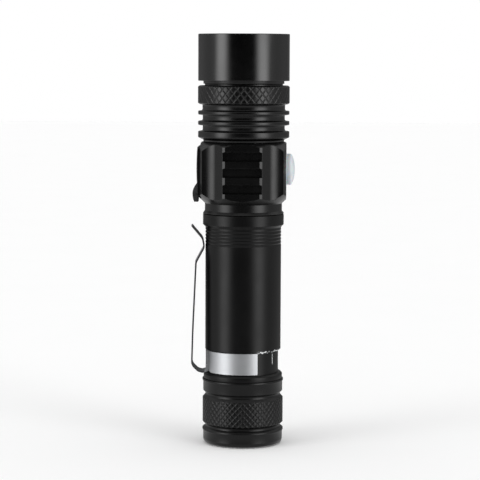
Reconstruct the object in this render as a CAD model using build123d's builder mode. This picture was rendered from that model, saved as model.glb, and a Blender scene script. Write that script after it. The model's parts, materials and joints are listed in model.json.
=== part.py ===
"""Pocket flashlight with a sliding zoom head, side button, USB port, pocket clip and screw-on tail cap.

Millimetres. +Z runs along the barrel towards the lens. The origin is the centre of the tail cap's end
face, which the light stands on. The button is on +X, the USB port and the clip are on -X, and the two
slotted windows of the switch housing face -Y and +Y.
"""

import os
from math import atan2, cos, degrees, radians, sin

from build123d import *

# Driving dimensions: outer radii
HEAD_R = 14.4
KNURL_R = 14.45
SLEEVE_NECK_R = 12.75
FIN_GROOVE_R = 12.95
HOUSING_R = 15.85
HOUSING_FLAT = 13.5
NECK_R = 12.2
COLLAR_R = 12.8
TUBE_R = 12.0
CLIP_GROOVE_R = 11.23
FLANGE_R = 12.5
CAP_LIP_R = 12.86
CAP_BAND_R = 12.62
CAP_KNURL_R = 12.8
CAP_GROOVE_R = 11.95

# Driving dimensions: heights of the joints between the pieces
HEAD_TOP = 129.9
BEZEL_BOTTOM = 115.2
KNURL_TOP = 113.75
KNURL_BOTTOM = 107.9
SLEEVE_BOTTOM = 96.1
HOUSING_TOP = 96.0
HOUSING_BOTTOM = 73.45
TUBE_SHOULDER = 73.3
CAP_TOP = 20.85

# Driving dimensions: fits, threads and seals
THREAD_R = 10.9
THREAD_BORE_R = 11.0
SLIDE_BORE_R = 11.5
ZOOM_TRAVEL = 7.0
SEAL_R = 0.42
CELL_R = 9.2
CELL_LENGTH = 65.0
CELL_BOTTOM = 11.0
CELL_BORE_R = 9.45

# Driving dimensions: button, port and clip
BUTTON_R = 4.98
BUTTON_Z = 87.4
BUTTON_TOP = 16.2
PORT_Z = 88.65
COVER_HINGE_X = -14.0
COVER_HINGE_Z = 94.3
CLIP_THICKNESS = 0.5
CLIP_RING_R = 11.85
CLIP_WIDTH = 6.2
LEAD_OFFSET = 6.2

EDGE = 0.15
FULL_TURN = 360


def turn(points, mode=Mode.ADD):
    """Turns a closed outline of (radius, height) points about Z into the part being built."""
    with BuildSketch(Plane.XZ) as section:
        with BuildLine():
            Polyline(*points, close=True)
        make_face()
    revolve(section.sketch, axis=Axis.Z, mode=mode)


def collar(outer, inner, bottom, top, edge=0.0, mode=Mode.ADD):
    """A ring, or a disc when inner is 0, with its two outer edges broken by a 45 degree edge."""
    if edge:
        rim = [(outer - edge, bottom), (outer, bottom + edge), (outer, top - edge), (outer - edge, top)]
    else:
        rim = [(outer, bottom), (outer, top)]
    turn([(inner, bottom), *rim, (inner, top)], mode)


def seal(centre_r, height):
    """An O-ring lying round Z."""
    with BuildSketch(Plane.XZ) as section:
        with Locations((centre_r, height)):
            Circle(SEAL_R)
    revolve(section.sketch, axis=Axis.Z)


def coil(bottom, top, bottom_r, top_r, turns, wire_r):
    """A conical coil spring round Z, between two heights."""
    pitch = (top - bottom - 2 * wire_r) / turns
    cone = degrees(atan2(top_r - bottom_r, top - bottom))
    with BuildLine() as centre:
        Helix(pitch, pitch * turns, bottom_r, center=(0, 0, bottom + wire_r), cone_angle=cone)
    with BuildSketch(Plane(centre.line @ 0, z_dir=centre.line % 0)) as wire:
        Circle(wire_r)
    sweep(wire.sketch, path=centre.line, is_frenet=True)


parts = []


def keep(part, label):
    """Names a finished piece and lists it for writing."""
    part.label = label
    parts.append(part)


# ---------------------------------------------------------------- zoom head

LENS_SEAT = 118.8
LENS_FLANGE_TOP = 120.4
LENS_FLANGE_R = 12.3
LENS_R = 11.3
LENS_BACK = 116.5
LENS_CROWN = 126.4
SPIGOT_TOP = 118.0
RIM_INNER_R = LENS_R + 0.3
RIM_CHAMFER = 1.3

with BuildPart() as bezel:
    collar(HEAD_R, THREAD_R, BEZEL_BOTTOM, HEAD_TOP, EDGE)
    collar(SLEEVE_NECK_R + 0.1, 0, BEZEL_BOTTOM, LENS_FLANGE_TOP, mode=Mode.SUBTRACT)
    turn(
        [
            (0, LENS_FLANGE_TOP),
            (RIM_INNER_R, LENS_FLANGE_TOP),
            (RIM_INNER_R, HEAD_TOP - RIM_CHAMFER),
            (RIM_INNER_R + RIM_CHAMFER, HEAD_TOP),
            (0, HEAD_TOP),
        ],
        Mode.SUBTRACT,
    )
keep(bezel.part, "bezel")

FIN_EDGE = 0.22
KNURL_EDGE = 0.4
FINS = [(101.35, 102.6), (104.6, 105.8)]
LIP_TOP = 98.5
LIP_R = 11.0
SHOULDER_FIN_BOTTOM = 97.5
SHOULDER_FIN_TOP = 99.4

with BuildPart() as head_sleeve:
    collar(SLEEVE_NECK_R, LIP_R, SLEEVE_BOTTOM, SPIGOT_TOP)
    collar(FIN_GROOVE_R, LIP_R, SHOULDER_FIN_TOP, KNURL_BOTTOM)
    collar(KNURL_R, LIP_R, KNURL_BOTTOM, KNURL_TOP, KNURL_EDGE)
    turn(
        [
            (LIP_R, SLEEVE_BOTTOM + 0.6),
            (SLEEVE_NECK_R, SLEEVE_BOTTOM + 0.6),
            (HEAD_R, SHOULDER_FIN_BOTTOM),
            (HEAD_R, SHOULDER_FIN_TOP - FIN_EDGE),
            (HEAD_R - FIN_EDGE, SHOULDER_FIN_TOP),
            (LIP_R, SHOULDER_FIN_TOP),
        ]
    )
    for fin_bottom, fin_top in FINS:
        collar(HEAD_R, LIP_R, fin_bottom, fin_top, FIN_EDGE)
    collar(SLIDE_BORE_R, 0, LIP_TOP, SPIGOT_TOP, mode=Mode.SUBTRACT)
keep(head_sleeve.part, "head_sleeve")

with BuildPart() as lens_gasket:
    collar(LENS_FLANGE_R, SLIDE_BORE_R + 0.1, SPIGOT_TOP, LENS_SEAT)
keep(lens_gasket.part, "lens_gasket")

with BuildPart() as lens:
    with BuildSketch(Plane.XZ):
        with BuildLine():
            crown = TangentArc((0, LENS_CROWN), (LENS_R, LENS_FLANGE_TOP), tangent=(1, 0))
            Polyline(
                crown @ 1,
                (LENS_FLANGE_R, LENS_FLANGE_TOP),
                (LENS_FLANGE_R, LENS_SEAT),
                (LENS_R, LENS_SEAT),
                (LENS_R, LENS_BACK),
                (0, LENS_BACK),
                crown @ 0,
            )
        make_face()
    revolve(axis=Axis.Z)
keep(lens.part, "lens")

# ------------------------------------------------- focus barrel and light source

BARREL_R = 10.9
BARREL_SPIGOT_R = 10.3
BARREL_SPIGOT_BOTTOM = 92.6
BARREL_BORE_R = 8.6
STOP_BOTTOM = LIP_TOP + ZOOM_TRAVEL + 0.1
STOP_R = SLIDE_BORE_R - 0.08
BARREL_TOP = 109.2
PILL_R = 9.6
PILL_BOTTOM = 104.5
PILL_TOP = 108.2
ZOOM_SEAL_Z = 107.4
ZOOM_SEAL_CENTRE_R = SLIDE_BORE_R - 0.04 - SEAL_R
BOARD_TOP = PILL_TOP + 1.2
EMITTER_TOP = BOARD_TOP + 0.7
LED_BOARD_R = 8.2
CHIP_WIDTH = 3.45
DOME_R = 1.4
DOME_HEIGHT = 0.9
LEAD_R = 0.45
LEAD_HOLE_R = 0.7
LEAD_END = BOARD_TOP + 0.4

with BuildPart() as focus_barrel:
    collar(BARREL_SPIGOT_R, BARREL_BORE_R, BARREL_SPIGOT_BOTTOM, HOUSING_TOP)
    collar(BARREL_R, BARREL_BORE_R, HOUSING_TOP, STOP_BOTTOM)
    collar(STOP_R, BARREL_BORE_R, STOP_BOTTOM, BARREL_TOP, EDGE)
    collar(PILL_R + 0.05, 0, PILL_BOTTOM, BARREL_TOP, mode=Mode.SUBTRACT)
    collar(
        STOP_R,
        ZOOM_SEAL_CENTRE_R - SEAL_R,
        ZOOM_SEAL_Z - SEAL_R - 0.1,
        ZOOM_SEAL_Z + SEAL_R + 0.1,
        mode=Mode.SUBTRACT,
    )
keep(focus_barrel.part, "focus_barrel")

with BuildPart() as zoom_oring:
    seal(ZOOM_SEAL_CENTRE_R, ZOOM_SEAL_Z)
keep(zoom_oring.part, "zoom_oring")

with BuildPart() as led_pill:
    collar(PILL_R, 0, PILL_BOTTOM, PILL_TOP, EDGE)
    with Locations((0, LEAD_OFFSET, PILL_TOP), (0, -LEAD_OFFSET, PILL_TOP)):
        Hole(LEAD_HOLE_R)
keep(led_pill.part, "led_pill")

with BuildPart() as led_board:
    collar(LED_BOARD_R, 0, PILL_TOP, BOARD_TOP)
    with Locations((0, LEAD_OFFSET, BOARD_TOP), (0, -LEAD_OFFSET, BOARD_TOP)):
        Hole(LEAD_HOLE_R)
keep(led_board.part, "led_board")

with BuildPart() as led_emitter:
    with BuildSketch(Plane.XY.offset(BOARD_TOP)):
        Rectangle(CHIP_WIDTH, CHIP_WIDTH)
    extrude(amount=EMITTER_TOP - BOARD_TOP)
    with BuildSketch(Plane.XZ):
        with BuildLine():
            dome = TangentArc((0, EMITTER_TOP + DOME_HEIGHT), (DOME_R, EMITTER_TOP), tangent=(1, 0))
            Polyline(dome @ 1, (0, EMITTER_TOP), dome @ 0)
        make_face()
    revolve(axis=Axis.Z)
keep(led_emitter.part, "led_emitter")

CHARGE_BOARD_TOP = 87.2

with BuildPart() as led_leads:
    with BuildSketch(Plane.XY.offset(CHARGE_BOARD_TOP)):
        with Locations((0, LEAD_OFFSET), (0, -LEAD_OFFSET)):
            Circle(LEAD_R)
    extrude(amount=LEAD_END - CHARGE_BOARD_TOP)
keep(led_leads.part, "led_leads")

# ---------------------------------------------------------- switch housing

HOUSING_BLOCK_BOTTOM = 76.7
LEDGE_BOTTOM = 82.0
LEDGE_TOP = 83.0
TOP_CONE = HOUSING_R - 13.25
BOTTOM_CONE_HEIGHT = 3.4
LAND_END = (5.4, HOUSING_FLAT)
STRIP_START = (6.2, 13.1)
STRIP_END = (8.4, 11.0)
SCOOP_END = (12.75, 9.42)
SCOOP_START_DIRECTION = (1, -0.8)
SIDE_FLAT_END = (HOUSING_FLAT, 6.8)
SLOT_CENTRES = [91.8, 86.75, 81.65]
SLOT_HEIGHT = 2.8
SLOT_HALF_WIDTH = 6.15
SLOT_FLOOR = HOUSING_FLAT - 1.5
SLOT_CHAMFER = 0.25
NECK_FLARE = 0.95
LEDGE_BORE_R = 9.3
COVER_PAD = 14.2
COVER_PAD_HALF_WIDTH = 5.9
COVER_RECESS_HALF_WIDTH = 5.35
COVER_RECESS_BOTTOM = 79.3
BUTTON_POCKET_R = 5.1
BUTTON_POCKET_FLOOR = 11.6
SWITCH_WINDOW_R = 4.3
PORT_POCKET_FLOOR = 12.3
SIDE_BORE_R = 9.9

with BuildPart() as switch_housing:
    with BuildSketch(Plane.XY.offset(HOUSING_BLOCK_BOTTOM)):
        with BuildLine():
            land = Polyline((0, HOUSING_FLAT), LAND_END, STRIP_START, STRIP_END)
            scoop = TangentArc(land @ 1, SCOOP_END, tangent=SCOOP_START_DIRECTION)
            Polyline(scoop @ 1, SIDE_FLAT_END, (HOUSING_FLAT, 0), (0, 0), land @ 0)
        make_face()
        mirror(about=Plane.YZ)
        mirror(about=Plane.XZ)
        with Locations((-COVER_PAD / 2, 0)):
            Rectangle(COVER_PAD, 2 * COVER_PAD_HALF_WIDTH)
    extrude(amount=HOUSING_TOP - HOUSING_BLOCK_BOTTOM)
    turn(
        [
            (0, HOUSING_BLOCK_BOTTOM),
            (NECK_R, HOUSING_BLOCK_BOTTOM),
            (HOUSING_R, HOUSING_BLOCK_BOTTOM + BOTTOM_CONE_HEIGHT),
            (HOUSING_R, HOUSING_TOP - TOP_CONE),
            (HOUSING_R - TOP_CONE, HOUSING_TOP),
            (0, HOUSING_TOP),
        ],
        Mode.INTERSECT,
    )
    with BuildSketch(Plane.YZ):
        for height in SLOT_CENTRES:
            with BuildLine():
                Polyline(
                    (SLOT_FLOOR, height - SLOT_HEIGHT / 2),
                    (HOUSING_FLAT, height - SLOT_HEIGHT / 2),
                    (HOUSING_FLAT, height + SLOT_HEIGHT / 2 + SLOT_CHAMFER),
                    (HOUSING_FLAT - SLOT_CHAMFER, height + SLOT_HEIGHT / 2),
                    (SLOT_FLOOR, height + SLOT_HEIGHT / 2),
                    close=True,
                )
            make_face()
        mirror(about=Plane.YZ)
    extrude(amount=SLOT_HALF_WIDTH, both=True, mode=Mode.SUBTRACT)
    with BuildSketch(Plane.XY.offset(COVER_RECESS_BOTTOM)):
        with Locations((-COVER_PAD, 0)):
            Rectangle(2 * (COVER_PAD - HOUSING_FLAT), 2 * COVER_RECESS_HALF_WIDTH)
    extrude(amount=HOUSING_TOP - COVER_RECESS_BOTTOM, mode=Mode.SUBTRACT)
    turn(
        [
            (0, HOUSING_BOTTOM),
            (COLLAR_R - EDGE, HOUSING_BOTTOM),
            (COLLAR_R, HOUSING_BOTTOM + EDGE),
            (NECK_R, HOUSING_BOTTOM + NECK_FLARE),
            (NECK_R, HOUSING_BLOCK_BOTTOM),
            (0, HOUSING_BLOCK_BOTTOM),
        ]
    )
    collar(THREAD_BORE_R, 0, HOUSING_BOTTOM, LEDGE_BOTTOM, mode=Mode.SUBTRACT)
    collar(LEDGE_BORE_R, 0, LEDGE_BOTTOM, LEDGE_TOP, mode=Mode.SUBTRACT)
    collar(SIDE_BORE_R, 0, LEDGE_TOP, BARREL_SPIGOT_BOTTOM, mode=Mode.SUBTRACT)
    collar(BARREL_SPIGOT_R + 0.1, 0, BARREL_SPIGOT_BOTTOM, HOUSING_TOP, mode=Mode.SUBTRACT)
    with BuildSketch(Plane.YZ.offset(BUTTON_POCKET_FLOOR)):
        with Locations((0, BUTTON_Z)):
            Circle(BUTTON_POCKET_R)
    extrude(amount=HOUSING_R - BUTTON_POCKET_FLOOR, mode=Mode.SUBTRACT)
    with BuildSketch(Plane.YZ.offset(SIDE_BORE_R - 1.9)):
        with Locations((0, BUTTON_Z)):
            Circle(SWITCH_WINDOW_R)
    extrude(amount=HOUSING_R - SIDE_BORE_R, mode=Mode.SUBTRACT)
    with BuildSketch(Plane.YZ.offset(-PORT_POCKET_FLOOR)):
        with Locations((0, PORT_Z)):
            RectangleRounded(9.0, 4.4, 0.8)
    extrude(amount=-(HOUSING_R - PORT_POCKET_FLOOR), mode=Mode.SUBTRACT)
    with BuildSketch(Plane.YZ.offset(1.9 - SIDE_BORE_R)):
        with Locations((0, PORT_Z)):
            RectangleRounded(8.2, 3.1, 0.5)
    extrude(amount=-(HOUSING_R - SIDE_BORE_R), mode=Mode.SUBTRACT)
keep(switch_housing.part, "switch_housing")

# ------------------------------------------------------------- electronics

DRIVER_BOARD_BOTTOM = LEDGE_BOTTOM - 1.2
DRIVER_RING_BOTTOM = DRIVER_BOARD_BOTTOM - 1.5
DRIVER_BOARD_R = 10.7
DRIVER_RING_BORE_R = 8.6
DRIVER_CHIP = (3.9, 4.9, 1.0)
SPANNER_SLOT = (2.0, 1.2, 1.6)
SPANNER_SLOT_Y = 9.8

with BuildPart() as driver_board:
    collar(DRIVER_BOARD_R, 0, DRIVER_BOARD_BOTTOM, LEDGE_BOTTOM)
    with Locations((3.5, 2.0, LEDGE_BOTTOM + 0.5), (-3.5, -2.5, LEDGE_BOTTOM + 0.5)):
        Box(*DRIVER_CHIP)
keep(driver_board.part, "driver_board")

with BuildPart() as driver_ring:
    collar(THREAD_R, DRIVER_RING_BORE_R, DRIVER_RING_BOTTOM, DRIVER_BOARD_BOTTOM, 0.1)
    with Locations((0, SPANNER_SLOT_Y, DRIVER_RING_BOTTOM), (0, -SPANNER_SLOT_Y, DRIVER_RING_BOTTOM)):
        Box(*SPANNER_SLOT, mode=Mode.SUBTRACT)
keep(driver_ring.part, "driver_ring")

CHARGE_BOARD_R = 9.7
CHARGE_BOARD_THICKNESS = 1.0
SWITCH_CLEARANCE = (8.0, 20.0, 4.0)
SWITCH_CLEARANCE_X = 12.1
INDUCTOR = (5.0, 5.0, 2.4)

with BuildPart() as charge_board:
    collar(CHARGE_BOARD_R, 0, CHARGE_BOARD_TOP - CHARGE_BOARD_THICKNESS, CHARGE_BOARD_TOP)
    with Locations((SWITCH_CLEARANCE_X, 0, CHARGE_BOARD_TOP)):
        Box(*SWITCH_CLEARANCE, mode=Mode.SUBTRACT)
    with Locations((0, 0, CHARGE_BOARD_TOP)):
        Box(*INDUCTOR, align=(Align.CENTER, Align.CENTER, Align.MIN))
keep(charge_board.part, "charge_board")

SOCKET_DEPTH = 5.2
SOCKET_WIDTH = 7.6
SOCKET_HEIGHT = 2.9
SOCKET_WALL = 0.3
SOCKET_TONGUE = (5.0, 0.6)
SOCKET_Z = CHARGE_BOARD_TOP + SOCKET_HEIGHT / 2

with BuildPart() as usb_socket:
    with BuildSketch(Plane.YZ.offset(-PORT_POCKET_FLOOR)):
        with Locations((0, SOCKET_Z)):
            RectangleRounded(SOCKET_WIDTH, SOCKET_HEIGHT, 0.45)
    extrude(amount=SOCKET_DEPTH)
    with BuildSketch(Plane.YZ.offset(-PORT_POCKET_FLOOR)):
        with Locations((0, SOCKET_Z)):
            RectangleRounded(SOCKET_WIDTH - 2 * SOCKET_WALL, SOCKET_HEIGHT - 2 * SOCKET_WALL, 0.4)
            Rectangle(*SOCKET_TONGUE, mode=Mode.SUBTRACT)
    extrude(amount=SOCKET_DEPTH - SOCKET_WALL, mode=Mode.SUBTRACT)
keep(usb_socket.part, "usb_socket")

SWITCH_FRONT = 11.1
SWITCH_SIZE = 6.0
SWITCH_DEPTH = 2.8
STEM_R = 1.5
STEM_BORE_R = 1.6
STEM_BORE_DEPTH = 1.3
PLUNGER_R = 2.4
PLUNGER_BACK = 11.75
STEM_BACK = 10.6
BUTTON_AXIS = Axis((0, 0, BUTTON_Z), (1, 0, 0))

with BuildPart() as tact_switch:
    with BuildSketch(Plane.YZ.offset(SWITCH_FRONT)):
        with Locations((0, BUTTON_Z)):
            RectangleRounded(SWITCH_SIZE, SWITCH_SIZE, 0.3)
    extrude(amount=-SWITCH_DEPTH)
    with BuildSketch(Plane.YZ.offset(SWITCH_FRONT)):
        with Locations((0, BUTTON_Z)):
            Circle(STEM_BORE_R)
    extrude(amount=-STEM_BORE_DEPTH, mode=Mode.SUBTRACT)
keep(tact_switch.part, "tact_switch")

with BuildPart() as switch_stem:
    with BuildSketch(Plane.YZ.offset(STEM_BACK)):
        with Locations((0, BUTTON_Z)):
            Circle(STEM_R)
    extrude(amount=PLUNGER_BACK - STEM_BACK)
keep(switch_stem.part, "switch_stem")

BOOT_BACK = 12.4
BOOT_SHOULDER = 15.1
BOOT_CAVITY_R = 4.1
BOOT_CAVITY_TOP = 15.0

with BuildPart() as button_boot:
    with BuildSketch(Plane.XZ):
        with BuildLine():
            dome = TangentArc(
                (BUTTON_TOP, BUTTON_Z), (BOOT_SHOULDER, BUTTON_Z + BUTTON_R), tangent=(0, 1)
            )
            Polyline(
                dome @ 1,
                (BOOT_BACK, BUTTON_Z + BUTTON_R),
                (BOOT_BACK, BUTTON_Z + BOOT_CAVITY_R),
                (BOOT_CAVITY_TOP - 0.3, BUTTON_Z + BOOT_CAVITY_R),
                (BOOT_CAVITY_TOP, BUTTON_Z + BOOT_CAVITY_R - 0.6),
                (BOOT_CAVITY_TOP, BUTTON_Z),
                dome @ 0,
            )
        make_face()
    revolve(axis=BUTTON_AXIS)
keep(button_boot.part, "button_boot")

with BuildPart() as button_plunger:
    with BuildSketch(Plane.YZ.offset(PLUNGER_BACK)):
        with Locations((0, BUTTON_Z)):
            Circle(PLUNGER_R)
    extrude(amount=BOOT_CAVITY_TOP - PLUNGER_BACK)
keep(button_plunger.part, "button_plunger")

# -------------------------------------------------------------- port cover

COVER_BACK = -13.6
COVER_HALF_WIDTH = 5.2
TAB_HALF_WIDTH = 3.3
TAB_BOTTOM = 77.1
TAB_ROOT_TOP = 79.6
TAB_INNER_X = -14.3
TAB_HEIGHT = 8.0
COVER_BOTTOM = 79.5
COVER_TOP = COVER_HINGE_Z + 0.8
HINGE_R = COVER_HINGE_X - COVER_BACK
COVER_BULGE = [(-14.62, 88.8), (-14.5, 83.2)]
TAB_CURL = [(-15.95, 79.7), (-15.4, TAB_BOTTOM)]
PLUG = (6.6, 1.9)
PLUG_DEPTH = 0.8

with BuildPart() as port_cover:
    with BuildSketch(Plane.XZ):
        with BuildLine():
            root = RadiusArc(
                (COVER_BACK, COVER_HINGE_Z), (COVER_BACK + 2 * HINGE_R, COVER_HINGE_Z), HINGE_R
            )
            bulge = ThreePointArc(root @ 1, *COVER_BULGE)
            curl = ThreePointArc(bulge @ 1, *TAB_CURL)
            Polyline(
                curl @ 1,
                (TAB_INNER_X, TAB_BOTTOM),
                (TAB_INNER_X, COVER_BOTTOM),
                (COVER_BACK, TAB_ROOT_TOP),
                root @ 0,
            )
        make_face()
    extrude(amount=COVER_HALF_WIDTH, both=True)
    with BuildSketch(Plane.YZ.offset(-HOUSING_R)):
        with Locations((0, (COVER_TOP + COVER_BOTTOM) / 2)):
            RectangleRounded(2 * COVER_HALF_WIDTH, COVER_TOP - COVER_BOTTOM, 2.4)
        with Locations((0, TAB_BOTTOM + TAB_HEIGHT / 2)):
            RectangleRounded(2 * TAB_HALF_WIDTH, TAB_HEIGHT, 0.8)
    extrude(amount=-COVER_BACK / 2, both=True, mode=Mode.INTERSECT)
    with BuildSketch(Plane.YZ.offset(COVER_BACK)):
        with Locations((0, PORT_Z)):
            RectangleRounded(*PLUG, 0.4)
    extrude(amount=PLUG_DEPTH)
keep(port_cover.part, "port_cover")

# ------------------------------------------------------------ battery tube

FINE_GROOVE_PITCH = 1.05
FINE_GROOVE_FIRST = 63.9
FINE_GROOVE_COUNT = 5
FINE_GROOVE_DEPTH = 0.16
FINE_GROOVE_HALF_WIDTH = 0.3
THREAD_LEAD_IN = 0.3
FLANGE_BOTTOM = CAP_TOP + 0.05
FLANGE_CHAMFER = FLANGE_R - TUBE_R
COLLAR_BOTTOM = TUBE_SHOULDER - 3.3
COLLAR_CONE_BOTTOM = TUBE_SHOULDER - 4.1
TUBE_BOTTOM = 9.0
TUBE_TOP = 79.1
CLIP_GROOVE_BOTTOM = 22.9
CLIP_GROOVE_TOP = 30.2
UPPER_SEAL_Z = 75.4
LOWER_SEAL_Z = 18.4
SEAL_CENTRE_R = THREAD_BORE_R - 0.05 - SEAL_R

with BuildPart() as battery_tube:
    turn(
        [
            (CELL_BORE_R, TUBE_BOTTOM),
            (THREAD_R - THREAD_LEAD_IN, TUBE_BOTTOM),
            (THREAD_R, TUBE_BOTTOM + THREAD_LEAD_IN),
            (THREAD_R, FLANGE_BOTTOM),
            (FLANGE_R - EDGE, FLANGE_BOTTOM),
            (FLANGE_R, FLANGE_BOTTOM + EDGE),
            (FLANGE_R, CLIP_GROOVE_BOTTOM - FLANGE_CHAMFER),
            (TUBE_R, CLIP_GROOVE_BOTTOM),
            (CLIP_GROOVE_R, CLIP_GROOVE_BOTTOM),
            (CLIP_GROOVE_R, CLIP_GROOVE_TOP),
            (TUBE_R - EDGE, CLIP_GROOVE_TOP),
            (TUBE_R, CLIP_GROOVE_TOP + EDGE),
            (TUBE_R, COLLAR_CONE_BOTTOM),
            (COLLAR_R, COLLAR_BOTTOM),
            (COLLAR_R, TUBE_SHOULDER - EDGE),
            (COLLAR_R - EDGE, TUBE_SHOULDER),
            (THREAD_R, TUBE_SHOULDER),
            (THREAD_R, TUBE_TOP - THREAD_LEAD_IN),
            (THREAD_R - THREAD_LEAD_IN, TUBE_TOP),
            (CELL_BORE_R, TUBE_TOP),
        ]
    )
    for index in range(FINE_GROOVE_COUNT):
        height = FINE_GROOVE_FIRST + index * FINE_GROOVE_PITCH
        turn(
            [
                (TUBE_R - FINE_GROOVE_DEPTH, height),
                (TUBE_R, height - FINE_GROOVE_HALF_WIDTH),
                (TUBE_R, height + FINE_GROOVE_HALF_WIDTH),
            ],
            Mode.SUBTRACT,
        )
    for height in (UPPER_SEAL_Z, LOWER_SEAL_Z):
        collar(
            THREAD_R,
            SEAL_CENTRE_R - SEAL_R,
            height - SEAL_R - 0.1,
            height + SEAL_R + 0.1,
            mode=Mode.SUBTRACT,
        )
keep(battery_tube.part, "battery_tube")

with BuildPart() as body_oring:
    seal(SEAL_CENTRE_R, UPPER_SEAL_Z)
keep(body_oring.part, "body_oring")

with BuildPart() as tail_oring:
    seal(SEAL_CENTRE_R, LOWER_SEAL_Z)
keep(tail_oring.part, "tail_oring")

# ------------------------------------------------------------ battery cell

CELL_TOP = CELL_BOTTOM + CELL_LENGTH
INSULATOR_THICKNESS = 0.3
TERMINAL_TOP = CELL_TOP + 1.5
TERMINAL_BASE_TOP = CELL_TOP + 0.4
TERMINAL_BASE_R = 4.1
TERMINAL_R = 2.9
INSULATOR_R = 8.6

with BuildPart() as battery_cell:
    collar(CELL_R, 0, CELL_BOTTOM, CELL_TOP, 2 * EDGE)
keep(battery_cell.part, "battery_cell")

with BuildPart() as cell_insulator:
    collar(INSULATOR_R, TERMINAL_BASE_R + 0.1, CELL_TOP, CELL_TOP + INSULATOR_THICKNESS)
keep(cell_insulator.part, "cell_insulator")

with BuildPart() as battery_terminal:
    collar(TERMINAL_BASE_R, 0, CELL_TOP, TERMINAL_BASE_TOP)
    collar(TERMINAL_R, 0, TERMINAL_BASE_TOP, TERMINAL_TOP, EDGE)
keep(battery_terminal.part, "battery_terminal")

with BuildPart() as front_contact:
    coil(TERMINAL_TOP, DRIVER_BOARD_BOTTOM, 1.8, 3.4, 3, 0.3)
keep(front_contact.part, "front_contact")

# -------------------------------------------------------------- pocket clip

CLIP_RING_BOTTOM = 23.3
CLIP_RING_TOP = 30.0
CLIP_AIM = 3.3
CLIP_WRAP = 111.5
CORNER_R = 1.8
SLIT_WIDTH = 1.2
SLIT_TOP = 29.2
SLIT_INNER = CLIP_WIDTH / 2
SLIT_OUTER = SLIT_INNER + SLIT_WIDTH
ARM_ROOT_TOP = 25.4
ARM_BENDS = [
    (-12.9, 22.95),
    (-14.3, 23.35),
    (-16.3, 25.3),
    (-16.0, 36.0),
    (-15.0, 58.0),
    (-12.4, 62.8),
    (-12.9, 65.6),
]
ARM_TIP = (-16.3, 69.6)
BEND_RADII = [0.4, 1.2, 1.6, 2.6, 60, 2.0, 2.2, 3.5]
CLIP_MID_R = CLIP_RING_R - CLIP_THICKNESS / 2


def wedge(start, end):
    """A sector from the axis out past the clip, between two angles from -X in degrees."""
    reach = 2 * CLIP_RING_R
    with BuildLine() as rays:
        Polyline(
            (0, 0),
            (-reach * cos(radians(start)), reach * sin(radians(start))),
            (-reach * cos(radians(end)), reach * sin(radians(end))),
            close=True,
        )
    make_face(rays.edges())


with BuildPart() as pocket_clip:
    collar(CLIP_RING_R, CLIP_RING_R - CLIP_THICKNESS, CLIP_RING_BOTTOM, CLIP_RING_TOP)
    with BuildSketch(Plane.XY.offset(CLIP_RING_BOTTOM)):
        wedge(CLIP_WRAP, 180)
        wedge(180, FULL_TURN - CLIP_WRAP)
    extrude(amount=CLIP_RING_TOP - CLIP_RING_BOTTOM, mode=Mode.SUBTRACT)
    with BuildSketch(Plane.YZ.offset(-2 * CLIP_RING_R)):
        with BuildLine():
            corner = TangentArc(
                (SLIT_OUTER + CORNER_R, CLIP_RING_BOTTOM),
                (SLIT_OUTER, CLIP_RING_BOTTOM + CORNER_R),
                tangent=(-1, 0),
            )
            Polyline(
                corner @ 1,
                (SLIT_OUTER, SLIT_TOP),
                (SLIT_INNER, SLIT_TOP),
                (SLIT_INNER, CLIP_RING_BOTTOM),
                corner @ 0,
            )
        make_face()
        mirror(about=Plane.YZ)
    extrude(amount=2 * CLIP_RING_R, mode=Mode.SUBTRACT)
    with BuildSketch(Plane.XZ):
        with BuildLine():
            FilletPolyline(
                (-CLIP_MID_R, ARM_ROOT_TOP),
                (-CLIP_MID_R, CLIP_RING_BOTTOM),
                *ARM_BENDS,
                ARM_TIP,
                radius=BEND_RADII,
            )
        trace(line_width=CLIP_THICKNESS)
    extrude(amount=CLIP_WIDTH / 2, both=True)
keep(pocket_clip.part.rotate(Axis.Z, CLIP_AIM), "pocket_clip")

# ----------------------------------------------------------------- tail cap

CAP_FLOOR = 2.2
BASE_EDGE = [(11.3, 0), (12.3, 0.5)]
LOWER_BAND = (1.4, 4.2)
LOWER_LIP = (4.3, 4.9)
LOWER_GROOVE = (5.5, 6.0)
CAP_KNURL = (6.85, 14.8)
UPPER_GROOVE = (15.6, 16.2)
UPPER_BAND = (16.8, 20.1)
UPPER_LIP_BOTTOM = 20.2
TAIL_BOARD_TOP = CAP_FLOOR + 1.2
TAIL_RING_TOP = TAIL_BOARD_TOP + 1.8
TAIL_BOARD_R = 10.6
TAIL_RING_BORE_R = 8.8

with BuildPart() as tail_cap:
    turn(
        [
            (0, 0),
            *BASE_EDGE,
            *[(CAP_BAND_R, height) for height in LOWER_BAND],
            (CAP_LIP_R, LOWER_LIP[0]),
            (CAP_LIP_R, LOWER_LIP[1] - EDGE),
            (CAP_LIP_R - EDGE, LOWER_LIP[1]),
            *[(CAP_GROOVE_R, height) for height in LOWER_GROOVE],
            *[(CAP_KNURL_R, height) for height in CAP_KNURL],
            *[(CAP_GROOVE_R, height) for height in UPPER_GROOVE],
            (CAP_BAND_R - EDGE, UPPER_BAND[0]),
            (CAP_BAND_R, UPPER_BAND[0] + EDGE),
            (CAP_BAND_R, UPPER_BAND[1]),
            (CAP_LIP_R, UPPER_LIP_BOTTOM),
            (CAP_LIP_R, CAP_TOP - EDGE),
            (CAP_LIP_R - EDGE, CAP_TOP),
            (0, CAP_TOP),
        ]
    )
    collar(THREAD_BORE_R, 0, CAP_FLOOR, CAP_TOP, mode=Mode.SUBTRACT)
keep(tail_cap.part, "tail_cap")

with BuildPart() as tail_board:
    collar(TAIL_BOARD_R, 0, CAP_FLOOR, TAIL_BOARD_TOP)
keep(tail_board.part, "tail_board")

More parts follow.
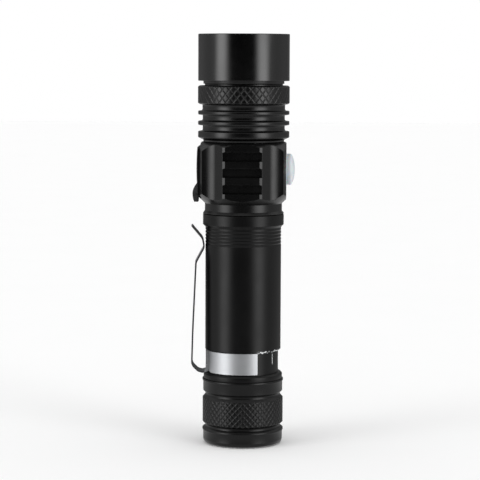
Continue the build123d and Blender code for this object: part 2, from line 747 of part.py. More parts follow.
with BuildPart() as tail_ring:
    collar(THREAD_R, TAIL_RING_BORE_R, TAIL_BOARD_TOP, TAIL_RING_TOP, 0.1)
    with Locations((0, SPANNER_SLOT_Y, TAIL_RING_TOP), (0, -SPANNER_SLOT_Y, TAIL_RING_TOP)):
        Box(*SPANNER_SLOT, mode=Mode.SUBTRACT)
keep(tail_ring.part, "tail_ring")

with BuildPart() as tail_spring:
    coil(TAIL_BOARD_TOP, CELL_BOTTOM, 5.6, 3.6, 4, 0.4)
keep(tail_spring.part, "tail_spring")

os.makedirs("parts", exist_ok=True)
for piece in parts:
    export_step(piece, f"parts/{piece.label}.step")
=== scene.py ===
"""Pocket flashlight: finished meshes, materials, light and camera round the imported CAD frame."""

import json
import math

import bmesh
import bpy
import numpy as np
from mathutils import Matrix, Vector

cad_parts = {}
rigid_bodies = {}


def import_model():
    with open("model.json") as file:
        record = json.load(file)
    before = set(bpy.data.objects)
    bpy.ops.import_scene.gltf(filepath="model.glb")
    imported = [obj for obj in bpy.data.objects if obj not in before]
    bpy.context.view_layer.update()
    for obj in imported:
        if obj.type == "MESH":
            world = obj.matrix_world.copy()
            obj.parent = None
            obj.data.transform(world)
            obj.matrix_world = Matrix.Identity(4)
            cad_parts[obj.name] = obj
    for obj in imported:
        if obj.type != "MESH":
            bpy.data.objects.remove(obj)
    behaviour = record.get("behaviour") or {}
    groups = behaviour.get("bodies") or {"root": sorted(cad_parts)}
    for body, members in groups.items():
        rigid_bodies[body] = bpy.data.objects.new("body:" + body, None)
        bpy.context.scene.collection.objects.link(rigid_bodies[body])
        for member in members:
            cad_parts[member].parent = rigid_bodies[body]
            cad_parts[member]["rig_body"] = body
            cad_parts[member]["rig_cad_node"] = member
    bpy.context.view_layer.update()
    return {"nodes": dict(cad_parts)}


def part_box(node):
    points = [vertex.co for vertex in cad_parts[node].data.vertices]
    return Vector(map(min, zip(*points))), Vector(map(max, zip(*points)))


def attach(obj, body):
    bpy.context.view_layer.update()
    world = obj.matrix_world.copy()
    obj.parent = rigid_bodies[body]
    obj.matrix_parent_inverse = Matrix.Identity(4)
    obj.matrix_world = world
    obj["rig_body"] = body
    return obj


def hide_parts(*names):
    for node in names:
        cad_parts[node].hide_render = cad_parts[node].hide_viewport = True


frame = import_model()

MM = 0.001
COLUMNS = 288  # columns round a plain turned piece
ARC_STEP = 0.14  # step along a rounded corner, in millimetres
AXIS_GAP = 0.02  # a closed end stops this far from the axis, in millimetres
WELD = 1e-6  # points nearer than this are one, in metres
CREASE_DEG = 35  # edges sharper than this stay sharp on turned pieces
FRONT_DEG = 1.8  # the photographed front, turned from -Y towards +X

# ---------------------------------------------------------------- mesh helpers


def low(node):
    """The lowest corner of a CAD node, in millimetres."""
    return Vector(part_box(node)[0]) / MM


def high(node):
    """The highest corner of a CAD node, in millimetres."""
    return Vector(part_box(node)[1]) / MM


def rounded(corners, steps=4):
    """A closed outline with an arc at each corner (a, b, radius) whose radius isn't 0."""
    outline = []
    count = len(corners)
    for i, (a, b, radius) in enumerate(corners):
        here = Vector((a, b))
        before = Vector(corners[i - 1][:2]) - here
        after = Vector(corners[(i + 1) % count][:2]) - here
        if radius == 0:
            outline.append(tuple(here))
            continue
        half = before.angle(after) / 2
        reach = min(radius / math.tan(half), before.length * 0.49, after.length * 0.49)
        true_radius = reach * math.tan(half)
        centre = here + (before.normalized() + after.normalized()).normalized() * (
            true_radius / math.sin(half)
        )
        start = here + before.normalized() * reach - centre
        turn = start.angle_signed(here + after.normalized() * reach - centre)
        arcs = max(steps, round(radius / ARC_STEP))
        for k in range(arcs + 1):
            spoke = start.copy()
            spoke.rotate(Matrix.Rotation(-turn * k / arcs, 2))
            outline.append(tuple(centre + spoke))
    return outline


def dense(outline, bottom, top, outside, step):
    """Adds rows every step to the outline's outer wall between two heights, for a knurl."""
    rows = []
    count = len(outline)
    for i, (r, z) in enumerate(outline):
        next_r, next_z = outline[(i + 1) % count]
        rows.append((r, z))
        on_wall = min(r, next_r) > outside and min(z, next_z) >= bottom and max(z, next_z) <= top
        if on_wall and abs(next_z - z) > step:
            pieces = round(abs(next_z - z) / step)
            rows += [
                (r + (next_r - r) * k / pieces, z + (next_z - z) * k / pieces)
                for k in range(1, pieces)
            ]
    return rows


def new_piece(name, vertices, faces, angle):
    """A smooth-shaded mesh object from vertices in millimetres, sharp above an edge angle."""
    mesh = bpy.data.meshes.new(name)
    mesh.from_pydata([tuple(v) for v in np.asarray(vertices) * MM], [], faces)
    mesh.validate()
    piece = bpy.data.objects.new(name, mesh)
    bpy.context.scene.collection.objects.link(piece)
    tidy(piece, angle)
    return piece


def tidy(piece, angle):
    """Makes the faces point outwards and sets the shading, sharp above an edge angle."""
    shape = bmesh.new()
    shape.from_mesh(piece.data)
    bmesh.ops.remove_doubles(shape, verts=shape.verts, dist=WELD)
    bmesh.ops.recalc_face_normals(shape, faces=shape.faces)
    shape.to_mesh(piece.data)
    shape.free()
    piece.data.shade_smooth()
    piece.data.set_sharp_from_angle(angle=math.radians(angle))
    flatten(piece)


def flatten(piece):
    """Keeps wide faces flat-looking beside their small rounded edges."""
    weighted = piece.modifiers.new("normals", "WEIGHTED_NORMAL")
    weighted.keep_sharp = True
    weighted.weight = 90
    apply_modifiers(piece)


def lathe(name, rows, columns=COLUMNS, relief=None, angle=CREASE_DEG):
    """Turns closed (radius, height) rows about Z; relief(angles, radius, height) sinks the surface."""
    angles = np.linspace(0, 2 * math.pi, columns, endpoint=False)
    rings = []
    for r, z in rows:
        radius = np.full(columns, float(r))
        if relief is not None:
            radius = radius - relief(angles, r, z)
        across, along = radius * np.cos(angles), radius * np.sin(angles)
        rings.append(np.stack([across, along, np.full(columns, z)], 1))
    count = len(rows)
    faces = [
        (i * columns + j, i * columns + (j + 1) % columns,
         (i + 1) % count * columns + (j + 1) % columns, (i + 1) % count * columns + j)
        for i in range(count)
        for j in range(columns)
    ]
    return new_piece(name, np.concatenate(rings), faces, angle)


FADE_LENGTH = 0.12
FADE_START = 0.15


def diamond_knurl(starts, climb, bottom, top, outside, depth, width):
    """Two families of V grooves round the barrel: starts grooves each way, climb mm per repeat."""
    pitch = 2 * math.pi * outside / starts
    slant = climb / math.hypot(climb, pitch)

    def relief(angles, r, z):
        if r < outside or not bottom <= z <= top:
            return 0.0
        around = angles / (2 * math.pi) * starts
        up = z / climb
        cut = np.zeros_like(angles)
        for phase in (around + up, around - up):
            off = np.abs(phase - np.round(phase)) * pitch * slant
            cut = np.maximum(cut, np.clip(1 - off / width, 0, 1))
        fade = min(1.0, (z - bottom) / FADE_LENGTH + FADE_START, (top - z) / FADE_LENGTH + FADE_START)
        return depth * fade * cut

    return relief


JOIN_DEG = 0.6
MILLED_CREASE_DEG = 32


def soften(node, name, width, segments=2, angle=28):
    """A copy of a CAD node with its facets joined up and its edges above an angle rounded."""
    piece = frame["nodes"][node].copy()
    piece.data = piece.data.copy()
    piece.name = name
    piece.data.name = name
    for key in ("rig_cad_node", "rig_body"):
        if key in piece:
            del piece[key]
    piece.parent = None
    bpy.context.scene.collection.objects.link(piece)
    shape = bmesh.new()
    shape.from_mesh(piece.data)
    bmesh.ops.remove_doubles(shape, verts=shape.verts, dist=2 * WELD)
    bmesh.ops.dissolve_limit(
        shape, angle_limit=math.radians(JOIN_DEG), verts=shape.verts, edges=shape.edges
    )
    shape.to_mesh(piece.data)
    shape.free()
    bevel = piece.modifiers.new("edges", "BEVEL")
    bevel.width = width * MM
    bevel.segments = segments
    bevel.limit_method = "ANGLE"
    bevel.angle_limit = math.radians(angle)
    bevel.use_clamp_overlap = True
    apply_modifiers(piece)
    piece.data.shade_smooth()
    piece.data.set_sharp_from_angle(angle=math.radians(MILLED_CREASE_DEG))
    flatten(piece)
    return piece


def apply_modifiers(piece):
    """Turns a piece's modifiers into plain mesh."""
    graph = bpy.context.evaluated_depsgraph_get()
    finished = bpy.data.meshes.new_from_object(piece.evaluated_get(graph))
    piece.modifiers.clear()
    piece.data = finished


# ------------------------------------------------------------------- materials


class Shader:
    """A material's node tree, with short calls for the nodes used here."""

    def __init__(self, name):
        self.material = bpy.data.materials.new(name)
        self.material.use_nodes = True
        self.tree = self.material.node_tree
        self.surface = self.tree.nodes["Principled BSDF"]
        self.place = self.tree.nodes.new("ShaderNodeTexCoord").outputs["Object"]

    def node(self, kind, **values):
        made = self.tree.nodes.new(kind)
        for key, value in values.items():
            setattr(made, key, value)
        return made

    def link(self, source, target):
        self.tree.links.new(source, target)

    def noise(self, scale, detail=3.0, rough=0.55, stretch=(1, 1, 1)):
        """Noise over the piece; scale is in cycles per metre."""
        mapping = self.node("ShaderNodeMapping")
        mapping.inputs["Scale"].default_value = stretch
        self.link(self.place, mapping.inputs["Vector"])
        made = self.node("ShaderNodeTexNoise")
        made.inputs["Scale"].default_value = scale
        made.inputs["Detail"].default_value = detail
        made.inputs["Roughness"].default_value = rough
        self.link(mapping.outputs["Vector"], made.inputs["Vector"])
        return made.outputs["Fac"]

    def spread(self, fac, low_in, high_in, low_out, high_out):
        """A smooth step from low_out to high_out as fac goes from low_in to high_in."""
        made = self.node("ShaderNodeMapRange", interpolation_type="SMOOTHSTEP")
        made.inputs["From Min"].default_value = low_in
        made.inputs["From Max"].default_value = high_in
        made.inputs["To Min"].default_value = low_out
        made.inputs["To Max"].default_value = high_out
        self.link(fac, made.inputs["Value"])
        return made.outputs["Result"]

    def math(self, operation, a, b=None):
        made = self.node("ShaderNodeMath", operation=operation)
        for socket, value in zip(made.inputs, (a, b)):
            if value is None:
                continue
            if isinstance(value, (int, float)):
                socket.default_value = value
            else:
                self.link(value, socket)
        return made.outputs[0]

    def mix(self, fac, a, b):
        made = self.node("ShaderNodeMix", data_type="RGBA")
        for key, value in (("A", a), ("B", b)):
            socket = [s for s in made.inputs if s.name == key and s.type == "RGBA"][0]
            if isinstance(value, tuple):
                socket.default_value = (*value, 1)
            else:
                self.link(value, socket)
        self.link(fac, made.inputs[0])
        return [s for s in made.outputs if s.type == "RGBA"][0]

    def colour(self, source):
        self.link(source, self.surface.inputs["Base Color"])

    def rough(self, source):
        self.link(source, self.surface.inputs["Roughness"])

    def bump(self, height, distance, strength=1.0):
        """Adds a bump, in millimetres, on top of any bump already there."""
        made = self.node("ShaderNodeBump")
        made.inputs["Strength"].default_value = strength
        made.inputs["Distance"].default_value = distance * MM
        self.link(height, made.inputs["Height"])
        normal = self.surface.inputs["Normal"]
        if normal.is_linked:
            self.link(normal.links[0].from_socket, made.inputs["Normal"])
        self.link(made.outputs["Normal"], normal)

    def set(self, **values):
        for key, value in values.items():
            self.surface.inputs[key.replace("_", " ")].default_value = value


RUBBED_GREY = (0.014, 0.014, 0.015)


def anodised(name, roughness, blast, turned=0.0, tone=0.001, shine=0.5):
    """Black anodised aluminium: bead-blasted grain, faint turning lines, rubbed high spots."""
    s = Shader(name)
    cloud = s.noise(90, 4)
    grain = s.noise(5200, 2, 0.7)
    rubbed = s.spread(s.noise(420, 6, 0.75), 0.66, 0.74, 0, 1)
    base = s.mix(cloud, (tone, tone, tone * 1.06), (tone * 2.1, tone * 2.1, tone * 2.2))
    s.colour(s.mix(s.math("MULTIPLY", rubbed, 0.35), base, RUBBED_GREY))
    s.rough(s.spread(s.math("ADD", cloud, s.math("MULTIPLY", grain, 0.4)), 0.4, 1.1,
                     roughness - 0.05, roughness + 0.07))
    s.set(Specular_IOR_Level=shine)
    s.bump(grain, 0.006 * blast, 0.5)
    if turned:
        s.bump(s.noise(1, 2, 0.6, stretch=(40, 40, 7000)), 0.004 * turned, 0.5)
    return s


def assign(piece, shader):
    """Gives a piece its one material."""
    piece.data.materials.clear()
    piece.data.materials.append(shader.material)


# ------------------------------------------------------------------ materials in use

gloss_black = anodised("anodised_bezel", 0.2, 0.25, 0.5)
satin_black = anodised("anodised_satin", 0.26, 0.6, 0.6, shine=0.36)
milled_black = anodised("anodised_milled", 0.28, 0.9, tone=0.0006, shine=0.34)
matt_black = anodised("anodised_blasted", 0.31, 1.2, shine=0.29)


def steel(name, roughness, stretch, tint=(0.8, 0.8, 0.8)):
    """Bright drawn steel with fine lines along one direction and a few scuffs."""
    s = Shader(name)
    lines = s.noise(1, 3, 0.7, stretch=stretch)
    scuff = s.spread(s.noise(300, 8, 0.8, stretch=(1, 1, 3)), 0.62, 0.7, 0, 1)
    s.colour(s.mix(lines, tuple(0.93 * c for c in tint), tint))
    s.rough(s.math("ADD", s.spread(lines, 0.3, 0.7, roughness - 0.04, roughness + 0.06),
                   s.math("MULTIPLY", scuff, 0.1)))
    s.bump(lines, 0.0012, 0.4)
    s.set(Metallic=1.0)
    return s


def moulded(name, tint, roughness, grain=900, depth=0.01, **extra):
    """Moulded rubber or plastic with a fine spark-eroded skin."""
    s = Shader(name)
    skin = s.noise(grain, 5, 0.7)
    blotch = s.noise(120, 3)
    s.colour(s.mix(blotch, tuple(0.8 * c for c in tint), tint))
    s.rough(s.spread(skin, 0.3, 0.7, roughness - 0.06, roughness + 0.08))
    s.bump(skin, depth, 0.6)
    s.set(**extra)
    return s


ARM_X = (-0.0124, -0.0118)
# the grey of the painted shade on the spring arm's sides and inner face
ARM_PAINTED_SHADE_GREY = (0.1, 0.1, 0.105)


def clip_material():
    """Bright steel sheet, with painted shade darkening the sides and the inner face along the spring arm.
    """
    s = steel("clip_steel", 0.47, (300, 300, 9000), (0.5, 0.51, 0.525))
    sheet = s.surface.inputs["Base Color"].links[0].from_socket
    coordinates = s.place.node
    facing = s.node("ShaderNodeSeparateXYZ")
    place = s.node("ShaderNodeSeparateXYZ")
    s.link(coordinates.outputs["Normal"], facing.inputs[0])
    s.link(s.place, place.inputs[0])
    # Painted shade: arm faces pointing sideways, or in towards the tube and up, are darkened by their
    # facing alone, standing in for shade and dark reflections
    side = s.spread(s.math("ABSOLUTE", facing.outputs["Y"]), 0.55, 0.85, 0, 1)
    inner = s.spread(s.math("ADD", facing.outputs["X"], facing.outputs["Z"]), 0.0, 0.3, 0, 1)
    arm = s.spread(place.outputs["X"], *ARM_X, 1, 0)
    s.colour(s.mix(s.math("MULTIPLY", s.math("MAXIMUM", side, inner), arm), sheet, ARM_PAINTED_SHADE_GREY))
    return s


clip_steel = clip_material()
spring_wire = steel("spring_wire", 0.25, (2000, 2000, 2000), (0.78, 0.77, 0.74))
bare_turned = steel("bare_turned_aluminium", 0.3, (40, 40, 9000), (0.8, 0.81, 0.82))
brass = steel("turned_brass", 0.28, (40, 40, 9000), (0.78, 0.58, 0.26))
plated = steel("plated_shell", 0.22, (4000, 800, 800), (0.8, 0.8, 0.81))
black_rubber = moulded("black_rubber", (0.02, 0.02, 0.021), 0.6)
seal_rubber = moulded("seal_rubber", (0.015, 0.015, 0.016), 0.4, 2000, 0.004)
clear_rubber = moulded("clear_silicone", (0.66, 0.71, 0.75), 0.45, 1200, 0.006,
                       Subsurface_Weight=0.35, Subsurface_Scale=0.002, IOR=1.42)
white_plastic = moulded("white_plastic", (0.8, 0.78, 0.72), 0.4)
dark_plastic = moulded("dark_plastic", (0.02, 0.02, 0.02), 0.45)
board_green = moulded("green_board", (0.012, 0.09, 0.04), 0.35, 3000, 0.004)
board_white = moulded("white_board", (0.8, 0.8, 0.78), 0.4, 3000, 0.003)
red_wire = moulded("red_wire", (0.5, 0.03, 0.02), 0.4, 3000, 0.003)
wrap_blue = moulded("cell_wrap", (0.02, 0.14, 0.36), 0.3, 500, 0.01)
paper = moulded("cell_paper", (0.82, 0.8, 0.72), 0.85, 2500, 0.01)
phosphor = moulded("led_phosphor", (0.95, 0.72, 0.1), 0.25, 4000, 0.002, Coat_Weight=0.8)


def lens_glass():
    """Clear glass with faint moulding ripples."""
    s = Shader("lens_glass")
    ripple = s.noise(250, 2)
    s.colour(s.mix(ripple, (0.94, 0.97, 0.98), (0.97, 0.99, 1.0)))
    s.rough(s.spread(ripple, 0.3, 0.7, 0.0, 0.03))
    s.bump(ripple, 0.002, 0.3)
    s.set(Transmission_Weight=1.0, IOR=1.49)
    return s


glass = lens_glass()

# -------------------------------------------------------------------- zoom head


def make_bezel():
    """The plain front ring that clamps the lens."""
    bottom, top = low("bezel").z, high("bezel").z
    radius = high("bezel").x
    window, seat, seat_top = 11.6, 12.85, bottom + 5.2
    rim_width, slope = 1.7, 1.3
    piece = lathe("bezel_ring", rounded([
        (seat, bottom, 0.1),
        (radius, bottom, 0.22),
        (radius, top, 0.24),
        (radius - rim_width, top, 0.15),
        (window, top - slope, 0.2),
        (window, seat_top, 0),
        (seat, seat_top, 0),
    ]))
    assign(piece, gloss_black)
    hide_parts("bezel")
    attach(piece, "zoom_head")


def make_head_sleeve():
    """The sliding sleeve: a neck, three fins and a knurled ring."""
    z0 = low("head_sleeve").z
    rim = high("bezel").x
    knurl_r = high("head_sleeve").x
    knurl_bottom, knurl_top = z0 + 11.8, z0 + 17.65
    knurl_chamfer, knurl_step = 0.5, 0.11
    starts, columns_each = 39, 18
    neck, groove, dark_line, bore = 12.75, 12.95, 12.3, 11.5
    lip, lip_top, top = 11.0, z0 + 2.4, z0 + 21.9
    corners = [
        (lip, z0, 0), (neck, z0, 0.08), (neck, z0 + 0.6, 0.1),
        (rim, z0 + 1.4, 0.15), (rim, z0 + 3.3, 0.2), (groove, z0 + 3.32, 0.75),
        (groove, z0 + 5.2, 0.15), (rim, z0 + 5.25, 0.28), (rim, z0 + 6.5, 0.2), (groove, z0 + 6.52, 0.75),
        (groove, z0 + 8.45, 0.15), (rim, z0 + 8.5, 0.28), (rim, z0 + 9.7, 0.2), (13.0, z0 + 9.72, 0.75),
        (13.05, z0 + 11.75, 0.25),
        (knurl_r - knurl_chamfer, knurl_bottom, 0.1), (knurl_r, knurl_bottom + 0.4, 0.1),
        (knurl_r, knurl_top - 0.4, 0.1), (knurl_r - knurl_chamfer, knurl_top, 0.1),
        (dark_line, knurl_top + 0.05, 0.1), (dark_line, knurl_top + 0.5, 0.1),
        (neck, knurl_top + 0.55, 0.1), (neck, top, 0.1), (bore, top, 0.1),
        (bore, lip_top, 0), (lip, lip_top, 0),
    ]
    outside = knurl_r - 0.42
    outline = dense(rounded(corners, 2), knurl_bottom, knurl_top, outside, knurl_step)
    relief = diamond_knurl(starts, 2.65, knurl_bottom, knurl_top, outside, 0.17, 0.2)
    piece = lathe("head_sleeve_knurled", outline, starts * columns_each, relief, angle=50)
    assign(piece, satin_black)
    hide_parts("head_sleeve")
    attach(piece, "zoom_head")


# ------------------------------------------------------------ tube and tail cap


def make_tube():
    """The battery tube: flange, clip groove, five fine lines and collar."""
    bottom, top = low("battery_tube").z, high("battery_tube").z
    collar = high("battery_tube").x
    shoulder, flange_bottom = 73.3, high("tail_cap").z + 0.05
    thread, bore, tube, flange, clip_groove = 10.9, 9.45, 12.0, 12.5, 11.23
    groove_bottom, groove_top = 22.9, 30.2
    lines, first_line, line_pitch, line_half, line_depth = 5, 63.9, 1.05, 0.34, 0.2
    corners = [
        (bore, bottom, 0.1), (thread, bottom, 0.3), (thread, flange_bottom, 0),
        (flange, flange_bottom, 0.12), (flange, 22.4, 0.15), (tube, groove_bottom, 0.1),
        (clip_groove, groove_bottom, 0.08), (clip_groove, groove_top, 0.08), (tube, groove_top, 0.14),
    ]
    for k in range(lines):
        z = first_line + line_pitch * k
        corners += [(tube, z - line_half, 0.1), (tube - line_depth, z, 0.12), (tube, z + line_half, 0.1)]
    corners += [
        (tube, shoulder - 4.1, 0.3), (collar, shoulder - 3.3, 0.2), (collar, shoulder, 0.14),
        (thread, shoulder, 0), (thread, top, 0.3), (bore, top, 0.1),
    ]
    piece = lathe("battery_tube_turned", rounded(corners))
    assign(piece, tube_black)
    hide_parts("battery_tube")
    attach(piece, "light_body")


GROOVE_EDGE = 0.0302
SCRATCH_X = 0.0095
SCRATCH_Z = (0.0258, 0.029)
BARE_METAL = (0.75, 0.76, 0.77)


def tube_material():
    """The blasted tube, with bright chips along the clip groove's upper edge and one scratch below it."""
    s = anodised("anodised_tube", 0.34, 1.6, shine=0.22)
    black = s.surface.inputs["Base Color"].links[0].from_socket
    place = s.node("ShaderNodeSeparateXYZ")
    s.link(s.place, place.inputs[0])
    x, y, z = place.outputs
    ragged = s.math("SUBTRACT", s.noise(900, 6, 0.7), 0.5)

    def line(position, centre, core, edge):
        """1 within core of the centre, fading to 0 at edge."""
        away = s.math("ABSOLUTE", s.math("SUBTRACT", position, centre))
        return s.math("SUBTRACT", 1.0, s.spread(away, core, edge, 0, 1))

    height = s.math("ADD", z, s.math("MULTIPLY", ragged, 0.0024))
    near_edge = line(height, GROOVE_EDGE, 0.00015, 0.00028)
    patches = s.spread(s.noise(340, 4, 0.65), 0.4, 0.48, 0, 1)
    side = s.spread(x, 0.0045, 0.0055, 0, 1)
    front = s.spread(y, 0.0, 0.002, 1, 0)
    chipped = s.math("MULTIPLY", s.math("MULTIPLY", near_edge, patches), s.math("MULTIPLY", side, front))
    wander = s.math("ADD", x, s.math("MULTIPLY", ragged, 0.0008))
    scratch = line(wander, SCRATCH_X, 0.00004, 0.0001)
    fade = 0.0006
    span = s.math("MULTIPLY", s.spread(z, SCRATCH_Z[0], SCRATCH_Z[0] + fade, 0, 1),
                  s.spread(z, SCRATCH_Z[1], SCRATCH_Z[1] + fade, 1, 0))
    scratched = s.math("MULTIPLY", s.math("MULTIPLY", scratch, span), front)
    s.colour(s.mix(s.math("MAXIMUM", chipped, scratched), black, BARE_METAL))
    return s


tube_black = tube_material()


def make_tail_cap():
    """The tail cap: a band and a lip at each end of a wide knurl."""
    top = high("tail_cap").z
    lip, band, groove, knurl_r = high("tail_cap").x, 12.62, 11.95, 12.8
    bore, floor_top = 11.0, 2.2
    knurl_bottom, knurl_top = 6.7, 14.9
    knurl_chamfer, knurl_step = 0.25, 0.12
    starts, columns_each = 43, 17
    corners = [
        (AXIS_GAP, 0, 0), (11.2, 0, 0.6), (12.35, 0.45, 0.8), (band, 1.5, 0.3), (band, 4.2, 0.1),
        (lip, 4.25, 0.1), (lip, 4.85, 0.12), (groove, 5.45, 0.15), (groove, 6.1, 0.2),
        (knurl_r - knurl_chamfer, knurl_bottom, 0.1), (knurl_r, 6.95, 0.1),
        (knurl_r, 14.65, 0.1), (knurl_r - knurl_chamfer, knurl_top, 0.1),
        (groove, 15.55, 0.2), (groove, 16.3, 0.2), (band, 16.95, 0.15), (band, 20.15, 0.08),
        (lip, 20.2, 0.08), (lip, top, 0.14), (bore, top, 0.1), (bore, floor_top, 0.1),
        (AXIS_GAP, floor_top, 0),
    ]
    outside = knurl_r - 0.26
    outline = dense(rounded(corners, 2), knurl_bottom, knurl_top, outside, knurl_step)
    relief = diamond_knurl(starts, 1.95, knurl_bottom, knurl_top, outside, 0.17, 0.22)
    piece = lathe("tail_cap_knurled", outline, starts * columns_each, relief, angle=50)
    assign(piece, matt_black)
    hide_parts("tail_cap")
    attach(piece, "tail_assembly")


# ----------------------------------------------------------- housing and trims


def make_housing():
    """The milled switch housing, with its chamfers kept flat and their edges broken."""
    piece = soften("switch_housing", "switch_housing_milled", 0.18, angle=14)
    assign(piece, milled_black)
    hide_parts("switch_housing")
    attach(piece, "light_body")


def make_port_cover():
    """The moulded rubber cover of the charging port."""
    piece = soften("port_cover", "port_cover_moulded", 0.3, 3, 30)
    assign(piece, black_rubber)
    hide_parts("port_cover")
    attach(piece, "port_flap")


def make_button():
    """The soft button cap: a rounded dome on a plain base ring with a shallow line between them."""
    front, back = high("button_boot").x, low("button_boot").x
    radius = high("button_boot").y
    middle = (low("button_boot").z + high("button_boot").z) / 2
    cavity_r, cavity_top = radius - 0.88, front - 1.2
    waist, crown_height = radius - 0.12, 1.75
    crown = [
        (radius * math.sin(t), front - crown_height * (1 - math.cos(t) ** 0.9))
        for t in np.radians(np.linspace(84, 2, 26))
    ]
    base = rounded([
        (cavity_r, back, 0.05), (radius, back, 0.1), (radius, back + 1.35, 0.08),
        (waist, back + 1.45, 0.06), (waist, back + 1.6, 0.06), (radius - 0.01, back + 1.72, 0.1),
    ])
    inside = [(AXIS_GAP, cavity_top), (cavity_r - 0.6, cavity_top), (cavity_r, cavity_top - 0.3)]
    profile = base + crown + [(AXIS_GAP, front - 0.002)] + inside
    piece = lathe("button_boot_domed", profile, 120)
    piece.data.transform(
        Matrix.Translation((0, 0, middle * MM)) @ Matrix.Rotation(math.radians(90), 4, "Y")
    )
    assign(piece, clear_rubber)
    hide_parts("button_boot")
    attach(piece, "button")


def make_clip():
    """The sprung sheet clip, with its cut edges just broken."""
    piece = soften("pocket_clip", "pocket_clip_formed", 0.06, 2, 30)
    assign(piece, clip_steel)
    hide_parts("pocket_clip")
    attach(piece, "clip")


make_bezel()
make_head_sleeve()
make_tube()
make_tail_cap()
make_housing()
make_port_cover()
make_button()
make_clip()

CAD_FINISH = {
    "lens": glass,
    "lens_gasket": seal_rubber,
    "focus_barrel": satin_black,
    "zoom_oring": seal_rubber,
    "led_pill": brass,
    "led_board": board_white,
    "led_emitter": phosphor,
    "led_leads": red_wire,
    "charge_board": board_green,
    "usb_socket": plated,
    "tact_switch": dark_plastic,
    "switch_stem": white_plastic,
    "button_plunger": white_plastic,
    "driver_board": board_green,
    "driver_ring": brass,
    "front_contact": spring_wire,
    "body_oring": seal_rubber,
    "tail_oring": seal_rubber,
    "battery_cell": wrap_blue,
    "battery_terminal": spring_wire,
    "cell_insulator": paper,
    "tail_spring": spring_wire,
    "tail_board": board_green,
    "tail_ring": bare_turned,
}
for cad_node, shader in CAD_FINISH.items():
    assign(frame["nodes"][cad_node], shader)

# --------------------------------------------------------- floor, light, camera


def from_front(degrees, distance, height):
    """A point round the object, its angle counted from the photographed front towards +X."""
    turn = math.radians(degrees + FRONT_DEG)
    return Vector((math.sin(turn) * distance, -math.cos(turn) * distance, height))


FLOOR_CELLS = 40
FLOOR_HALF = 3.0


def make_floor():
    """A pale matt floor that the flashlight stands on."""
    shape = bmesh.new()
    bmesh.ops.create_grid(shape, x_segments=FLOOR_CELLS, y_segments=FLOOR_CELLS, size=FLOOR_HALF)
    mesh = bpy.data.meshes.new("floor")
    shape.to_mesh(mesh)
    shape.free()
    floor = bpy.data.objects.new("floor", mesh)
    bpy.context.scene.collection.objects.link(floor)
    s = Shader("pale_floor")
    s.colour(s.mix(s.noise(20, 2), (0.95, 0.95, 0.95), (0.97, 0.97, 0.97)))
    s.rough(s.spread(s.noise(60, 2), 0, 1, 0.85, 0.95))
    s.set(Specular_IOR_Level=0.0)
    assign(floor, s)
    floor.visible_glossy = False


BACKDROP_GLOW = 1.0
STRIP_GLOW = 5.0
FLAT_GLOW = 0.16
SOFT_FILL = 1.4
STRIPS_DEG = -4.5  # the middle of the dark front, counted from the photographed front

# (degrees round from the middle of the front, glow)
ROUND_STOPS = [
    (0, 0.01), (30, 0.02), (36, 1.0), (42, 3.4), (48, 4.8), (60, 4.8), (66, 3.0), (74, 0.8),
    (92, 0.55), (120, 0.4), (145, 0.18), (180, 0.2),
]
# (percent of the way from straight down to straight up, share of flat glow times STRIP_GLOW)
UPRIGHT_STOPS = [(0, STRIP_GLOW), (34, STRIP_GLOW), (44, 0), (66, 0), (84, STRIP_GLOW)]
MIX_A, MIX_B, MIX_RESULT = 6, 7, 2  # the colour sockets of a mix node


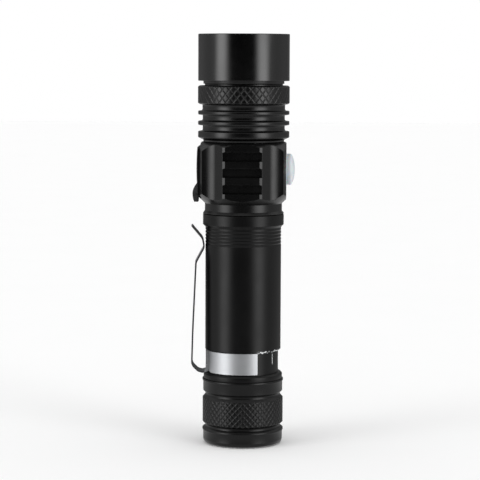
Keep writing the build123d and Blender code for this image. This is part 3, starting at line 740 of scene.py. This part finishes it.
def make_world():
    """Two bright strips beside a dark front, dimmer sides and back, and white above and below."""
    world = bpy.data.worlds.new("studio")
    bpy.context.scene.world = world
    world.use_nodes = True
    tree = world.node_tree
    tree.nodes.clear()

    def node(kind, **values):
        made = tree.nodes.new(kind)
        for key, value in values.items():
            setattr(made, key, value)
        return made

    direction = node("ShaderNodeTexCoord").outputs["Generated"]
    level = node("ShaderNodeVectorMath", operation="MULTIPLY")
    level.inputs[1].default_value = (1, 1, 0)
    tree.links.new(direction, level.inputs[0])
    flat = node("ShaderNodeVectorMath", operation="NORMALIZE")
    tree.links.new(level.outputs["Vector"], flat.inputs[0])
    front = node("ShaderNodeVectorMath", operation="DOT_PRODUCT")
    front.inputs[1].default_value = from_front(STRIPS_DEG, 1, 0)
    tree.links.new(flat.outputs["Vector"], front.inputs[0])
    angle = node("ShaderNodeMath", operation="ARCCOSINE")
    tree.links.new(front.outputs["Value"], angle.inputs[0])
    share = node("ShaderNodeMath", operation="DIVIDE")
    share.inputs[1].default_value = math.pi
    tree.links.new(angle.outputs[0], share.inputs[0])
    round_ramp = glow_ramp(node, ROUND_STOPS, 180)
    tree.links.new(share.outputs[0], round_ramp.inputs["Fac"])

    height = node("ShaderNodeSeparateXYZ")
    tree.links.new(direction, height.inputs[0])
    rise = node("ShaderNodeMapRange")
    rise.inputs["From Min"].default_value = -1
    tree.links.new(height.outputs["Z"], rise.inputs["Value"])
    upright = glow_ramp(node, UPRIGHT_STOPS, 100)
    tree.links.new(rise.outputs["Result"], upright.inputs["Fac"])
    blend = node("ShaderNodeMix", data_type="RGBA")
    tree.links.new(upright.outputs["Color"], blend.inputs[0])
    tree.links.new(round_ramp.outputs["Color"], blend.inputs[MIX_A])
    blend.inputs[MIX_B].default_value = (FLAT_GLOW, FLAT_GLOW, FLAT_GLOW, 1)

    path = node("ShaderNodeLightPath")
    strength = node("ShaderNodeMath", operation="MULTIPLY_ADD")
    tree.links.new(path.outputs["Is Diffuse Ray"], strength.inputs[0])
    strength.inputs[1].default_value = SOFT_FILL
    strength.inputs[2].default_value = STRIP_GLOW
    lit = node("ShaderNodeBackground")
    tree.links.new(strength.outputs[0], lit.inputs["Strength"])
    tree.links.new(blend.outputs[MIX_RESULT], lit.inputs["Color"])
    seen = node("ShaderNodeBackground")
    seen.inputs["Color"].default_value = (BACKDROP_GLOW, BACKDROP_GLOW, BACKDROP_GLOW, 1)
    either = node("ShaderNodeMixShader")
    tree.links.new(path.outputs["Is Camera Ray"], either.inputs[0])
    tree.links.new(lit.outputs[0], either.inputs[1])
    tree.links.new(seen.outputs[0], either.inputs[2])
    output = node("ShaderNodeOutputWorld")
    tree.links.new(either.outputs[0], output.inputs["Surface"])


def glow_ramp(node, stops, whole):
    """A colour ramp from (place, glow) stops, with glow as a share of the strips' glow."""
    ramp = node("ShaderNodeValToRGB")
    elements = ramp.color_ramp.elements
    elements.remove(elements[1])
    for i, (place, glow) in enumerate(stops):
        stop = elements[0] if i == 0 else elements.new(place / whole)
        value = glow / STRIP_GLOW
        stop.color = (value, value, value, 1)
    return ramp


def make_camera():
    """The photographed view: a long lens, a little above the head, tilted down."""
    distance, height = 0.613, 0.123
    tilt, pan, roll = math.radians(5.42), math.radians(0.0975), math.radians(0.22)
    focal_length, sensor_width = 145.5, 36
    camera = bpy.data.cameras.new("camera")
    camera.lens = focal_length
    camera.sensor_width = sensor_width
    camera.clip_start = 0.01
    holder = bpy.data.objects.new("camera", camera)
    bpy.context.scene.collection.objects.link(holder)
    heading = math.radians(FRONT_DEG)
    turned = (
        Matrix.Rotation(heading + pan, 4, "Z")
        @ Matrix.Rotation(math.pi / 2 - tilt, 4, "X")
        @ Matrix.Rotation(roll, 4, "Z")
    )
    holder.matrix_world = Matrix.Translation(from_front(0, distance, height)) @ turned
    bpy.context.scene.camera = holder


make_floor()
make_world()
make_camera()
bpy.context.scene.view_settings.view_transform = "Standard"
